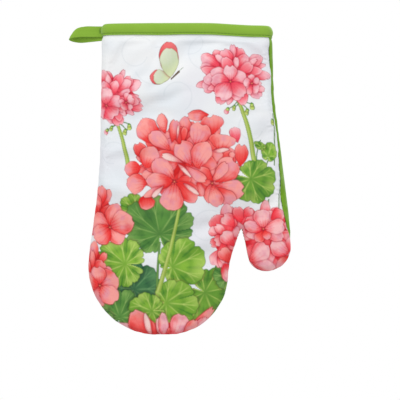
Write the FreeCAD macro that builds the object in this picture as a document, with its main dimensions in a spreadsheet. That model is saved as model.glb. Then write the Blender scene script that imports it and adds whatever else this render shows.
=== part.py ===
"""An oven mitt: six sewn layers, a bound cuff and a hanging loop.

Row frame, in millimetres: the origin is the centre of the cuff's opening, +Z runs up the arm,
+X points to the thumb's side and -Y is the printed front. The fingers point down.

Every layer is a skin between two "pouches". A pouch is the mitt's outline, inset by some amount
and padded to the mitt's depth less that amount, with its long edges rounded. Each layer is then
split along the side seam into a front and a back, and where the mitt folds into a hand, fingers
and a thumb, which are the bodies that move.
"""
import FreeCAD, Part
import math
import os
import Sketcher

V = FreeCAD.Vector
doc = FreeCAD.newDocument("OvenMitt")

# ---------------------------------------------------------------- the driving dimensions, in mm
SIZES = {
    # where the cuff's ends, the corners of the outline and the rounding at each corner lie
    "CuffLeftX": -81.9, "CuffRightX": 82.0, "TrimAllowance": 30.0,
    "WristLeftX": -84.9, "WristLeftZ": -147.7, "WristLeftRadius": 540.0,
    "KnuckleX": -95.3, "KnuckleZ": -223.4, "KnuckleRadius": 120.0,
    "TipLeftX": -101.0, "TipLeftZ": -299.9, "TipLeftRadius": 66.8,
    "TipRightX": 35.9, "TipRightZ": -300.0, "TipRightRadius": 59.0,
    "FlankX": 41.4, "FlankZ": -229.5, "FlankRadius": 118.0,
    "CrotchX": 52.3, "CrotchZ": -199.7, "CrotchRadius": 2.6,
    "ThumbInnerX": 62.2, "ThumbInnerZ": -240.9, "ThumbInnerRadius": 17.6,
    "ThumbOuterX": 103.2, "ThumbOuterZ": -235.2, "ThumbOuterRadius": 24.7,
    "ThumbBaseX": 98.6, "ThumbBaseZ": -181.5, "ThumbBaseRadius": 160.0,
    "WristRightX": 84.2, "WristRightZ": -67.0, "WristRightRadius": 326.0,
    # the depth of the filled-out mitt, and the layers from the outside in
    "HalfDepth": 17.0, "EdgeRadius": 14.0, "SeamGap": 0.5,
    "ShellThickness": 0.8, "WaddingThickness": 3.2, "LiningThickness": 0.6, "LayerGap": 0.2,
    # the folds that divide the mitt into moving bodies
    "FingerFlex": 45.0, "ThumbFlex": 40.0, "ThumbLineAngle": 30.0, "FoldGap": 0.3,
    # the bias binding round the cuff
    "BindingHeight": 10.5, "BindingThickness": 0.8, "StitchHeight": 8.9,
    # sewing thread, and how far it stops short of an edge
    "ThreadThickness": 0.3, "ThreadWidth": 0.5, "SeamThreadInset": 1.3, "ThreadMargin": 1.0,
    "QuiltSpacing": 44.0, "QuiltAngle": 42.0, "QuiltThreadWidth": 0.8,
    # the hanging loop, a folded tape that stands out from the left end of the cuff
    "LoopRootX": -85.6, "LoopLength": 24.4, "LoopSewnLength": 6.6,
    "LoopEyeRadius": 4.0, "LoopThickness": 1.1, "LoopTop": -1.8, "LoopHeight": 9.8,
    "TackX": -84.1, "TackThickness": 0.4, "TackWidth": 3.2, "TackMargin": 0.4,
}
sheet = doc.addObject("Spreadsheet::Sheet", "Sizes")
for row, (alias, value) in enumerate(SIZES.items(), start=1):
    sheet.set(f"A{row}", alias)
    sheet.set(f"B{row}", str(value))
    sheet.setAlias(f"B{row}", alias)
doc.recompute()

REACH = 400.0  # far beyond the mitt on every side, for boxes that only divide it
ON_XZ = FreeCAD.Placement(V(0, 0, 0), FreeCAD.Rotation(V(1, 0, 0), 90))


def size(alias):
    """A driving dimension as the sheet holds it."""
    return float(sheet.get(alias))


# ---------------------------------------------------------------- the outline
def rounded_corner(before, corner, after, radius):
    """The start, centre and end of the arc that rounds a corner, seen in the sketch's plane."""
    to_before, to_after = (before - corner).normalize(), (after - corner).normalize()
    half = to_before.getAngle(to_after) / 2
    centre = corner + (to_before + to_after).normalize() * (radius / math.sin(half))
    along = radius / math.tan(half)
    return corner + to_before * along, centre, corner + to_after * along


def crotch_corner(centre, radius, left, right):
    """The corner between the two tangents from the corners beside the crotch to its arc."""
    tangents = []
    for point, side in ((left, 1), (right, -1)):
        away = centre - point
        lean = math.asin(radius / away.Length) * side
        tangents.append((point, FreeCAD.Rotation(V(0, 0, 1), math.degrees(lean)).multVec(away)))
    (p, u), (q, w) = tangents
    share = ((q - p).x * w.y - (q - p).y * w.x) / (u.x * w.y - u.y * w.x)
    return p + u * share


def outline_sketch():
    """The mitt's flat outline: straight runs joined by tangent arcs, all sized from the sheet."""
    names = ["WristLeft", "Knuckle", "TipLeft", "TipRight", "Flank", "Crotch",
             "ThumbInner", "ThumbOuter", "ThumbBase", "WristRight"]
    places = {n: V(size(n + "X"), size(n + "Z"), 0) for n in names}
    corners = [V(size("CuffLeftX"), size("TrimAllowance"), 0)]
    corners += [places[n] for n in names]
    corners += [V(size("CuffRightX"), size("TrimAllowance"), 0)]
    at = names.index("Crotch") + 1
    corners[at] = crotch_corner(
        places["Crotch"], size("CrotchRadius"), corners[at - 1], corners[at + 1])

    sketch = doc.addObject("Sketcher::SketchObject", "MittOutline")
    sketch.Placement = ON_XZ
    arcs, last = [], corners[0]
    for i, name in enumerate(names, start=1):
        start, centre, end = rounded_corner(
            corners[i - 1], corners[i], corners[i + 1], size(name + "Radius"))
        middle = centre + ((start + end) / 2 - centre).normalize() * size(name + "Radius")
        line = sketch.addGeometry(Part.LineSegment(last, start))
        arc = sketch.addGeometry(Part.Arc(start, middle, end))
        arcs.append((name, line, arc, corners[i]))
        last = end
    final = sketch.addGeometry(Part.LineSegment(last, corners[-1]))
    close = sketch.addGeometry(Part.LineSegment(corners[-1], corners[0]))

    def bind(kind, *where, cell):
        index = sketch.addConstraint(Sketcher.Constraint(kind, *where, size(cell)))
        sketch.setExpression(f"Constraints[{index}]", f"{sheet.Name}.{cell}")

    following = [entry[1] for entry in arcs[1:]] + [final]
    for (name, line, arc, corner), after in zip(arcs, following):
        # an arc's ends run anticlockwise, so find which end meets the line before it
        meets = sketch.getPoint(arc, 1).distanceToPoint(sketch.getPoint(line, 2)) < 1e-6
        first, second = (1, 2) if meets else (2, 1)
        sketch.addConstraint(Sketcher.Constraint("Tangent", line, 2, arc, first))
        sketch.addConstraint(Sketcher.Constraint("Tangent", arc, second, after, 1))
        bind("Radius", arc, cell=name + "Radius")
        if name == "Crotch":
            bind("DistanceX", -1, 1, arc, 3, cell="CrotchX")
            bind("DistanceY", -1, 1, arc, 3, cell="CrotchZ")
            continue
        point = sketch.addGeometry(Part.Point(corner), True)
        bind("DistanceX", -1, 1, point, 1, cell=name + "X")
        bind("DistanceY", -1, 1, point, 1, cell=name + "Z")
        sketch.addConstraint(Sketcher.Constraint("PointOnObject", point, 1, line))
        sketch.addConstraint(Sketcher.Constraint("PointOnObject", point, 1, after))
    first_line = arcs[0][1]
    sketch.addConstraint(Sketcher.Constraint("Coincident", final, 2, close, 1))
    sketch.addConstraint(Sketcher.Constraint("Coincident", close, 2, first_line, 1))
    bind("DistanceX", -1, 1, first_line, 1, cell="CuffLeftX")
    bind("DistanceY", -1, 1, first_line, 1, cell="TrimAllowance")
    bind("DistanceX", -1, 1, close, 1, cell="CuffRightX")
    bind("DistanceY", -1, 1, close, 1, cell="TrimAllowance")
    doc.recompute()
    return sketch


outline = outline_sketch()
print("outline: solver freedom", outline.solve(), "closed", outline.Shape.isClosed())


# ---------------------------------------------------------------- pouches and layers
def bound(kind, name, **expressions):
    """A new object of that kind with its properties bound to the sheet."""
    made = doc.addObject(kind, name)
    for prop, expression in expressions.items():
        made.setExpression(prop.replace("_", "."), expression)
    return made


def value_of(expression):
    """What an inset written in the sheet's aliases comes to, in mm."""
    total = 0.0
    for term in expression.replace("-", "+-").split("+"):
        term = term.strip()
        if term:
            total += -size(term[1:].strip()) if term.startswith("-") else size(term)
    return total


def cells(expression):
    """The same inset as an expression on the sheet's cells."""
    return " ".join(w if w in "+-" else f"{sheet.Name}.{w}" for w in expression.split())


def slab(name, inset):
    """The outline, inset and padded both ways to the mitt's depth less that inset."""
    made = doc.addObject("Part::Extrusion", name + "Slab")
    depth = f"{sheet.Name}.HalfDepth"
    if inset:
        wire = doc.addObject("Part::Offset2D", name + "Outline")
        wire.Source = outline
        wire.Mode, wire.Join, wire.Fill = "Pipe", "Arc", False
        wire.setExpression("Value", f"-({cells(inset)})")
        made.Base = wire
        depth = f"{depth} - ({cells(inset)})"
    else:
        made.Base = outline
    made.DirMode, made.Dir = "Custom", V(0, 1, 0)
    made.Solid, made.Symmetric = True, True
    made.setExpression("LengthFwd", f"2 * ({depth})")
    return made


def pouch(name, inset):
    """A slab with the long edges of its front and back faces rounded."""
    made = slab(name, inset)
    doc.recompute()
    radius = size("EdgeRadius") - value_of(inset)
    face = size("HalfDepth") - value_of(inset)
    end = size("TrimAllowance") - value_of(inset)
    chosen = []
    for i, edge in enumerate(made.Shape.Edges, start=1):
        box = edge.BoundBox
        on_a_face = box.YLength < 1e-6 and abs(abs(box.YMin) - face) < 1e-6
        at_the_end = box.ZMin > end - 1e-6
        if on_a_face and not at_the_end:
            chosen.append((i, radius, radius))
    rounded = doc.addObject("Part::Fillet", name)
    rounded.Base, rounded.Edges = made, chosen
    return rounded


def boolean(kind, name, base, tool):
    made = doc.addObject(kind, name)
    made.Base, made.Tool = base, tool
    return made


def box(name, low, high, placement=None):
    """A box from its lowest to its highest corner, in mm or as expressions on the sheet."""
    made = doc.addObject("Part::Box", name)
    for prop, axis, a, b in zip(("Length", "Width", "Height"), "xyz", low, high):
        made.setExpression(prop, f"({b}) - ({a})")
        if placement is None:
            made.setExpression(f"Placement.Base.{axis}", str(a))
    if placement is not None:
        made.Placement = placement
    return made


SHELL = "ShellThickness"
WADDING_OUT = f"{SHELL} + LayerGap"
WADDING_IN = f"{WADDING_OUT} + WaddingThickness"
LINING_OUT = f"{WADDING_IN} + LayerGap"
LINING_IN = f"{LINING_OUT} + LiningThickness"
pouches = {
    "MittOutside": "", "ShellInside": SHELL,
    "WaddingOutside": WADDING_OUT, "WaddingInside": WADDING_IN,
    "LiningOutside": LINING_OUT, "HandSpace": LINING_IN,
}
for name, inset in pouches.items():
    pouches[name] = pouch(name, inset)
doc.recompute()
LAYERS = {
    "shell": boolean("Part::Cut", "ShellLayer", pouches["MittOutside"], pouches["ShellInside"]),
    "wadding": boolean(
        "Part::Cut", "WaddingLayer", pouches["WaddingOutside"], pouches["WaddingInside"]),
    "lining": boolean("Part::Cut", "LiningLayer", pouches["LiningOutside"], pouches["HandSpace"]),
}


# ---------------------------------------------------------------- where the mitt divides
def below_fold(name, angle, tilt, gap_side, across):
    """Everything on one side of the crotch that lies below a fold's line.

    angle turns the fold's line up from +X and tilt tips the region's top face about that line.
    gap_side is -1 to stop short of the line by half the fold's gap, or +1 to reach past it.
    across is the region's extent in X, from the crotch.
    """
    crotch = V(size("CrotchX"), 0, size("CrotchZ"))
    turn = FreeCAD.Rotation(V(0, 1, 0), -angle).multiply(FreeCAD.Rotation(V(1, 0, 0), tilt))
    place = FreeCAD.Placement(crotch, turn)
    low = (-REACH, -REACH, -REACH)
    place = place.multiply(FreeCAD.Placement(V(*low), FreeCAD.Rotation()))
    under = box(name + "Under", low, (REACH, REACH, f"{gap_side} * {sheet.Name}.FoldGap / 2"), place)
    start, end = across
    beside = box(name + "Beside", (f"{sheet.Name}.CrotchX + {start}", -REACH, -2 * REACH),
                 (f"{sheet.Name}.CrotchX + {end}", REACH, REACH))
    return boolean("Part::Common", name, under, beside)


LEFT, RIGHT = (-REACH, 0), (0, REACH)
halves, blocks, cutters = {}, {}, {}
for side, sign in (("front", -1), ("back", 1)):
    gap = f"{sign} * {sheet.Name}.SeamGap / 2"
    reach = sign * REACH
    near, far = (reach, gap) if sign < 0 else (gap, reach)
    halves[side] = box(side.title() + "Half", (-REACH, near, -REACH), (REACH, far, 0))
    for part, angle, across, flex in (
        ("fingers", 0.0, LEFT, size("FingerFlex")),
        ("thumb", size("ThumbLineAngle"), RIGHT, size("ThumbFlex")),
    ):
        lean = flex / 2 if side == "back" else 0.0
        label = (part + side).title()
        blocks[part, side] = below_fold(label + "Block", angle, -lean, -1, across)
        cutters[part, side] = below_fold(label + "Cutter", angle, lean, 1, across)


def divide(layer, side, names):
    """A layer's front or back as three sub-parts: names holds the hand's, fingers' and thumb's."""
    half = boolean("Part::Common", f"{names['hand']}_half", layer, halves[side])
    upper = boolean("Part::Cut", f"{names['hand']}_over", half, cutters["fingers", side])
    made = {"hand": boolean("Part::Cut", names["hand"], upper, cutters["thumb", side])}
    for part in ("fingers", "thumb"):
        made[part] = boolean("Part::Common", names[part], half, blocks[part, side])
    return made


subparts = []


def keep(made, label):
    made.Label = label
    subparts.append(made)
    return made


LAYER_NAMES = {
    ("shell", "front"): "printed_front", ("shell", "back"): "quilted_back",
    ("wadding", "front"): "front_wadding", ("wadding", "back"): "back_wadding",
    ("lining", "front"): "front_lining", ("lining", "back"): "back_lining",
}
for (layer, side), stem in LAYER_NAMES.items():
    names = {part: f"{stem}_{part}" for part in ("hand", "fingers", "thumb")}
    for part, made in divide(LAYERS[layer], side, names).items():
        keep(made, names[part])


# ---------------------------------------------------------------- the cuff's binding
def cuff_band(name, outer, inner, low, high):
    """What lies between two pouches, or slabs' outlines, in a band of height at the cuff."""
    ring = boolean("Part::Cut", name + "Ring", outer, inner)
    band = box(name + "Band", (-REACH, -REACH, low), (REACH, REACH, high))
    return boolean("Part::Common", name, ring, band)


tape_in = pouch("TapeInside", "- LayerGap")
tape_out = pouch("TapeOutside", "- LayerGap - BindingThickness")
fold_out = pouch("FoldOutside", f"{LINING_IN} + LayerGap")
fold_in = pouch("FoldInside", f"{LINING_IN} + LayerGap + BindingThickness")
depth = f"-{sheet.Name}.BindingHeight"
rim = f"{sheet.Name}.LayerGap"
crown = f"{rim} + {sheet.Name}.BindingThickness"
bands = [
    cuff_band("OuterTape", tape_out, tape_in, depth, crown),
    cuff_band("InnerTape", fold_out, fold_in, depth, crown),
    cuff_band("TapeCrown", tape_out, fold_in, rim, crown),
]
binding = doc.addObject("Part::MultiFuse", "cuff_binding")
binding.Shapes = bands
keep(binding, "cuff_binding")

stitch_low = f"-{sheet.Name}.StitchHeight"
stitch_high = f"{stitch_low} + {sheet.Name}.ThreadWidth"
thread_out = pouch("ThreadOutside", "- LayerGap - BindingThickness - ThreadThickness")
thread_in = pouch("ThreadInside", f"{LINING_IN} + LayerGap + BindingThickness + ThreadThickness")
stitching = doc.addObject("Part::Compound", "binding_stitching")
stitching.Links = [
    cuff_band("OuterStitch", thread_out, tape_out, stitch_low, stitch_high),
    cuff_band("InnerStitch", fold_in, thread_in, stitch_low, stitch_high),
]
keep(stitching, "binding_stitching")


# ---------------------------------------------------------------- the side seam's thread
def seam_thread():
    """A flat thread in the gap between the front and the back, all round the mitt but the cuff."""
    outer = slab("SeamThreadOuter", "SeamThreadInset")
    inner = slab("SeamThreadInner", "SeamThreadInset + ThreadWidth")
    ring = boolean("Part::Cut", "SeamThreadRing", outer, inner)
    half = f"{sheet.Name}.ThreadThickness / 2"
    top = f"-{sheet.Name}.ThreadMargin"
    flat = box("SeamThreadBand", (-REACH, f"-{half}", -REACH), (REACH, half, top))
    return boolean("Part::Common", "SeamThread", ring, flat)


thread = seam_thread()
upper = boolean("Part::Cut", "SeamThreadOver", thread, cutters["fingers", "front"])
keep(boolean("Part::Cut", "side_seam_thread_hand", upper, cutters["thumb", "front"]),
     "side_seam_thread_hand")
for part in ("fingers", "thumb"):
    name = f"side_seam_thread_{part}"
    keep(boolean("Part::Common", name, thread, blocks[part, "front"]), name)


# ---------------------------------------------------------------- the quilting's thread
def quilting():
    """Rows of stitching both ways across the back, on its flat face."""
    rows = []
    spacing, width = size("QuiltSpacing"), size("QuiltThreadWidth")
    count = math.ceil(REACH / spacing)
    for way in (-1, 1):
        turn = FreeCAD.Rotation(V(0, 1, 0), way * size("QuiltAngle"))
        for i in range(-count, count + 1):
            middle = V(size("CrotchX"), 0, size("CrotchZ")) + turn.multVec(V(0, 0, i * spacing))
            corner = middle + turn.multVec(V(-REACH, size("HalfDepth"), -width / 2))
            row = doc.addObject("Part::Box", f"QuiltRow{len(rows)}")
            row.Length = 2 * REACH
            row.setExpression("Width", f"{sheet.Name}.ThreadThickness")
            row.setExpression("Height", f"{sheet.Name}.QuiltThreadWidth")
            row.Placement = FreeCAD.Placement(corner, turn)
            rows.append(row)
    lattice = doc.addObject("Part::MultiFuse", "QuiltLattice")
    lattice.Shapes = rows
    flat = slab("QuiltField", "EdgeRadius")
    flat.setExpression("LengthFwd", f"4 * {sheet.Name}.HalfDepth")
    within = boolean("Part::Common", "QuiltWithin", lattice, flat)
    top = f"{depth} - {sheet.Name}.ThreadMargin"
    below = box("QuiltBelow", (-REACH, 0, -REACH), (REACH, REACH, top))
    return boolean("Part::Common", "QuiltThread", within, below)


quilt = quilting()
upper = boolean("Part::Cut", "QuiltThreadOver", quilt, cutters["fingers", "back"])
keep(boolean("Part::Cut", "quilting_thread_hand", upper, cutters["thumb", "back"]),
     "quilting_thread_hand")
for part in ("fingers", "thumb"):
    name = f"quilting_thread_{part}"
    keep(boolean("Part::Common", name, quilt, blocks[part, "back"]), name)


# ---------------------------------------------------------------- the hanging loop
def body_with_sketch(label):
    """A PartDesign body and an empty sketch on its own XY plane."""
    body = doc.addObject("PartDesign::Body", label)
    plane = next(f for f in body.Origin.OriginFeatures if f.Role == "XY_Plane")
    sketch = body.newObject("Sketcher::SketchObject", label + "_sketch")
    sketch.AttachmentSupport = [(plane, "")]
    sketch.MapMode = "FlatFace"
    return body, sketch


def teardrop(sketch, root, root_radius, eye, eye_radius):
    """A closed outline round a small circle at the root and a larger one at the eye."""
    lean = math.asin((eye_radius - root_radius) / (root - eye))
    side = V(math.sin(lean), math.cos(lean), 0)
    under = V(side.x, -side.y, 0)
    root_at, eye_at = V(root, 0, 0), V(eye, 0, 0)
    sketch.addGeometry(Part.Arc(
        root_at + under * root_radius, root_at + V(root_radius, 0, 0),
        root_at + side * root_radius))
    sketch.addGeometry(Part.LineSegment(root_at + side * root_radius, eye_at + side * eye_radius))
    sketch.addGeometry(Part.Arc(
        eye_at + side * eye_radius, eye_at - V(eye_radius, 0, 0), eye_at + under * eye_radius))
    sketch.addGeometry(Part.LineSegment(
        eye_at + under * eye_radius, root_at + under * root_radius))


def constrain_teardrop(sketch, first, root, root_radius, eye, eye_radius):
    """Ties a teardrop's four pieces, from geometry number first, to the sheet."""
    small, top, large, bottom = range(first, first + 4)
    for a, b in ((small, top), (top, large), (large, bottom), (bottom, small)):
        ends = [(i, j) for i in (1, 2) for j in (1, 2)
                if sketch.getPoint(a, i).distanceToPoint(sketch.getPoint(b, j)) < 1e-6]
        sketch.addConstraint(Sketcher.Constraint("Tangent", a, ends[0][0], b, ends[0][1]))
    for arc, place, radius in ((small, root, root_radius), (large, eye, eye_radius)):
        sketch.addConstraint(Sketcher.Constraint("PointOnObject", arc, 3, -1))
        for kind, where, expression in (
            ("DistanceX", (-1, 1, arc, 3), place), ("Radius", (arc,), radius),
        ):
            measure = sketch.getPoint(arc, 3).x if kind == "DistanceX" else (
                sketch.Geometry[arc].Radius)
            index = sketch.addConstraint(Sketcher.Constraint(kind, *where, measure))
            sketch.setExpression(f"Constraints[{index}]", expression)


def hanging_loop():
    """A tape folded back on itself: a teardrop in plan, open at its eye and closed at its root."""
    body, sketch = body_with_sketch("hanging_loop")
    tape, eye = size("LoopThickness"), size("LoopEyeRadius")
    root = size("LoopRootX")
    far = root - size("LoopLength")
    seam = root - size("LoopSewnLength")
    teardrop(sketch, root, tape, far, eye + tape)
    teardrop(sketch, seam, tape / 2, far, eye)
    s = sheet.Name
    constrain_teardrop(sketch, 0, f"{s}.LoopRootX", f"{s}.LoopThickness",
                       f"{s}.LoopRootX - {s}.LoopLength", f"{s}.LoopEyeRadius + {s}.LoopThickness")
    constrain_teardrop(sketch, 4, f"{s}.LoopRootX - {s}.LoopSewnLength",
                       f"{s}.LoopThickness / 2", f"{s}.LoopRootX - {s}.LoopLength",
                       f"{s}.LoopEyeRadius")
    pad = body.newObject("PartDesign::Pad", "LoopTape")
    pad.Profile = sketch
    pad.setExpression("Length", f"{s}.LoopHeight")
    body.setExpression("Placement.Base.z", f"{s}.LoopTop - {s}.LoopHeight")
    return body


keep(hanging_loop(), "hanging_loop")

half_tack = f"{sheet.Name}.TackWidth / 2"
tack_low = f"{stitch_high} + {sheet.Name}.TackMargin"
tack = box("loop_bar_tack", (f"{sheet.Name}.TackX", f"-{half_tack}", tack_low),
           (f"{sheet.Name}.TackX + {sheet.Name}.TackThickness", half_tack,
            f"{sheet.Name}.LoopTop - {sheet.Name}.ThreadMargin"))
keep(tack, "loop_bar_tack")

# ---------------------------------------------------------------- check and write
doc.recompute()
for made in doc.Objects:
    if {"Invalid", "Error"} & set(made.State):
        raise RuntimeError(f"{made.Name} failed: {made.State}")
os.makedirs("parts", exist_ok=True)
for made in subparts:
    shape = made.Shape
    if shape.isNull() or not shape.isValid() or not shape.Solids:
        raise RuntimeError(f"{made.Label} has no valid solid")
    shape.exportStep(os.path.join("parts", made.Label + ".step"))
    print(f"{made.Label}: {len(shape.Solids)} solids, {shape.Volume:.0f} mm3")
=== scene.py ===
import math
import bpy
import numpy as np
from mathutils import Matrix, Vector
from mathutils.bvhtree import BVHTree
from mathutils.geometry import delaunay_2d_cdt
from mathutils.kdtree import KDTree


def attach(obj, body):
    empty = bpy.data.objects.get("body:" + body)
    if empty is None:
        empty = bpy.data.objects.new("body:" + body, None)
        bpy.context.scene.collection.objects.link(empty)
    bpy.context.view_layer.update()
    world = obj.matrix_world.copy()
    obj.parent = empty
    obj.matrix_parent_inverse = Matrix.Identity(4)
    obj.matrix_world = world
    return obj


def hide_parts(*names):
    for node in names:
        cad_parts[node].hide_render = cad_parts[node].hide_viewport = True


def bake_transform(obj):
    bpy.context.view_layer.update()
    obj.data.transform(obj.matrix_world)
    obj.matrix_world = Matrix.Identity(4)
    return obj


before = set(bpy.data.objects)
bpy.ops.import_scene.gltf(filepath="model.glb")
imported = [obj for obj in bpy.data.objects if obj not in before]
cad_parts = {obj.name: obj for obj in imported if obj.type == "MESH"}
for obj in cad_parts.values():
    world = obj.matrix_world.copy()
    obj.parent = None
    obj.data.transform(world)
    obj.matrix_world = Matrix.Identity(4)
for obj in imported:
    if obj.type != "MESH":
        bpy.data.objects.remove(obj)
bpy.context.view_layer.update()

MM = 0.001

# ------------------------------------------------------------------ the mitt's measures, in mm
# x, z and rounding radius of each corner of the flat outline, from the cuff's left end round to
# its right one
OUTLINE = [
    (-81.9, 30.0, 0.0), (-84.9, -147.7, 540.0), (-95.3, -223.4, 120.0), (-101.0, -299.9, 66.8),
    (35.9, -300.0, 59.0), (41.4, -229.5, 118.0), (52.9, -194.5, 1.0), (62.2, -240.9, 17.6),
    (103.2, -235.2, 24.7), (98.6, -181.5, 160.0), (84.2, -67.0, 326.0), (82.0, 30.0, 0.0),
]
CROTCH = np.array([52.3, -199.7])
THUMB_LINE_ANGLE = math.radians(30)
EDGE_WIDTH, EDGE_DEPTH = 9.0, 9.5  # the rounded side, seen across the seam
CROWN_DEPTH, CROWN_WIDTH = 6.5, 27.0  # how much deeper the middle is than the side
STITCH_HEIGHT = 8.9  # how far the binding's stitching is below the cuff's cut edge
QUILT_SPACING, QUILT_ANGLE = 44.0, math.radians(42)


# ------------------------------------------------------------------ small helpers
def smoothstep(low, high, value):
    t = np.clip((value - low) / (high - low), 0.0, 1.0)
    return t * t * (3 - 2 * t)


def linear(*srgb):
    """An sRGB colour, 0 to 255, as linear light."""
    c = np.asarray(srgb, float) / 255
    return np.where(c <= 0.04045, c / 12.92, ((c + 0.055) / 1.055) ** 2.4)


def toward(colour, other, share):
    """Colours moved a share of the way to another one."""
    return colour + (other - colour) * share[:, None]


def unit(vectors):
    """Vectors along the last axis, made one long."""
    return vectors / np.maximum(np.linalg.norm(vectors, axis=-1, keepdims=True), 1e-12)


def value_noise(x, z, scale, seed):
    """Smooth noise between -1 and 1 whose bumps are about scale mm across."""
    u, v = x / scale + 31.7 * seed, z / scale - 17.3 * seed
    i, j = np.floor(u), np.floor(v)
    fu, fv = u - i, v - j
    fu, fv = fu * fu * (3 - 2 * fu), fv * fv * (3 - 2 * fv)

    def corner(a, b):
        h = np.sin((i + a) * 127.1 + (j + b) * 311.7 + seed * 74.7) * 43758.5453
        return 2 * (h - np.floor(h)) - 1

    low = corner(0, 0) * (1 - fu) + corner(1, 0) * fu
    high = corner(0, 1) * (1 - fu) + corner(1, 1) * fu
    return low * (1 - fv) + high * fv


def layered_noise(x, z, scale, seed, octaves=3):
    total = np.zeros_like(x)
    for k in range(octaves):
        total += value_noise(x, z, scale / 2 ** k, seed + 7 * k) / 2 ** k
    return total / 1.75


def lengths_along(path):
    """How far along a polyline each of its points is."""
    return np.concatenate([[0], np.linalg.norm(np.diff(path, axis=0), axis=1).cumsum()])


def places_along(path, along, spots):
    """The points of a polyline at some lengths along it."""
    return np.stack([np.interp(spots, along, path[:, k]) for k in range(path.shape[1])], 1)


def evened(path, spacing, closed=False):
    """A polyline's points, spaced evenly, and how far along it each is."""
    if closed:
        path = np.concatenate([path, path[:1]])
    along = lengths_along(path)
    spots = np.linspace(0, along[-1], int(along[-1] / spacing) + 1)
    if closed:
        spots = spots[:-1]
    return places_along(path, along, spots), spots


def search_tree(points):
    """A tree that finds the nearest of some points, each of two or three coordinates."""
    tree = KDTree(len(points))
    for k, point in enumerate(points):
        tree.insert((*point, 0)[:3], k)
    tree.balance()
    return tree


def distance_to(line, points):
    """The distance from each point to the nearest point of a finely spaced line."""
    tree = search_tree(line)
    return np.array([tree.find((*point, 0))[2] for point in points])


# ------------------------------------------------------------------ the outline and its band
def rounded_outline(spacing):
    """The outline as points from the cuff's left end to its right one, both at z = 0."""
    points, count = [], len(OUTLINE)
    corner = [np.array(c[:2]) for c in OUTLINE]
    for i in range(count):
        radius = OUTLINE[i][2]
        if radius == 0:
            points.append(corner[i])
            continue
        u = corner[i - 1] - corner[i]
        v = corner[(i + 1) % count] - corner[i]
        u, v = u / np.linalg.norm(u), v / np.linalg.norm(v)
        half = math.acos(np.clip(u @ v, -1, 1)) / 2
        middle = (u + v) / np.linalg.norm(u + v)
        centre = corner[i] + middle * radius / math.sin(half)
        start = corner[i] + u * radius / math.tan(half) - centre
        turn = math.pi - 2 * half
        if u[0] * v[1] - u[1] * v[0] < 0:
            turn = -turn
        steps = max(6, int(abs(turn) * radius / 0.5)) if radius > 5 else 40
        angles = math.atan2(start[1], start[0]) - turn * np.linspace(0, 1, steps + 1)
        points.extend(centre + radius * np.stack([np.cos(angles), np.sin(angles)], 1))
    points = np.array(points)
    # cut both ends at z = 0, then space the points evenly except where a tight arc needs more
    for end, inner in ((0, 1), (-1, -2)):
        share = points[end][1] / (points[end][1] - points[inner][1])
        points[end] = points[end] + share * (points[inner] - points[end])
    along = lengths_along(points)
    spots = np.linspace(0, along[-1], int(along[-1] / spacing) + 1)
    tight = along[np.linalg.norm(points - CROTCH, axis=1) < 3.0]
    low, high = tight.min(), tight.max()
    spots = spots[(spots < low - spacing / 2) | (spots > high + spacing / 2)]
    spots = np.sort(np.concatenate([spots, np.linspace(low, high, int(26 / spacing))]))
    even = places_along(points, along, spots)
    tangent = unit(np.gradient(even, spots, axis=0))
    inward = np.stack([-tangent[:, 1], tangent[:, 0]], 1)
    return even, inward


def crown(depth_in):
    """How much deeper the mitt is than its rounded side, by the distance in from its outline."""
    return CROWN_DEPTH * (1 - np.exp(-(np.maximum(depth_in, 0) / CROWN_WIDTH) ** 1.2))


def hex_points(ring, spacing):
    """Points of a triangular lattice inside a closed ring, a little clear of it."""
    low, high = ring.min(0), ring.max(0)
    following = np.roll(ring, -1, axis=0)
    points = []
    rise = spacing * math.sqrt(3) / 2
    for j in range(int((high[1] - low[1]) / rise) + 1):
        z = high[1] - (j + 0.9) * rise
        crossing = (ring[:, 1] > z) != (following[:, 1] > z)
        a, b = ring[crossing], following[crossing]
        xs = np.sort(a[:, 0] + (z - a[:, 1]) / (b[:, 1] - a[:, 1]) * (b[:, 0] - a[:, 0]))
        for left, right in zip(xs[::2], xs[1::2]):
            shift = 0.5 * (j % 2)
            start = math.ceil((left + 0.6 * spacing) / spacing - shift)
            stop = math.floor((right - 0.6 * spacing) / spacing - shift)
            row = (np.arange(start, stop + 1) + shift) * spacing
            points.append(np.stack([row, np.full(len(row), z)], 1))
    points = np.concatenate(points)
    return points[distance_to(ring, points) > 0.45 * spacing]


def relax(values, edges, times, held):
    """Values on a mesh's vertices, evened out along its edges except where they are held."""
    values = values.copy()
    count = np.bincount(edges.ravel(), minlength=len(values))
    for _ in range(times):
        total = np.bincount(edges[:, 0], values[edges[:, 1]], len(values))
        total += np.bincount(edges[:, 1], values[edges[:, 0]], len(values))
        fresh = total / np.maximum(count, 1)
        values = np.where(held, values, 0.5 * values + 0.5 * fresh)
    return values


def vertex_normals(points, triangles):
    a, b, c = (points[triangles[:, k]] for k in range(3))
    across = np.cross(b - a, c - a)
    normals = np.zeros_like(points)
    for k in range(3):
        for axis in range(3):
            normals[:, axis] += np.bincount(triangles[:, k], across[:, axis], len(points))
    return unit(normals)


RIM_SPACING = 1.35  # a sheet's vertices along its rim, for each step of its lattice


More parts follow.
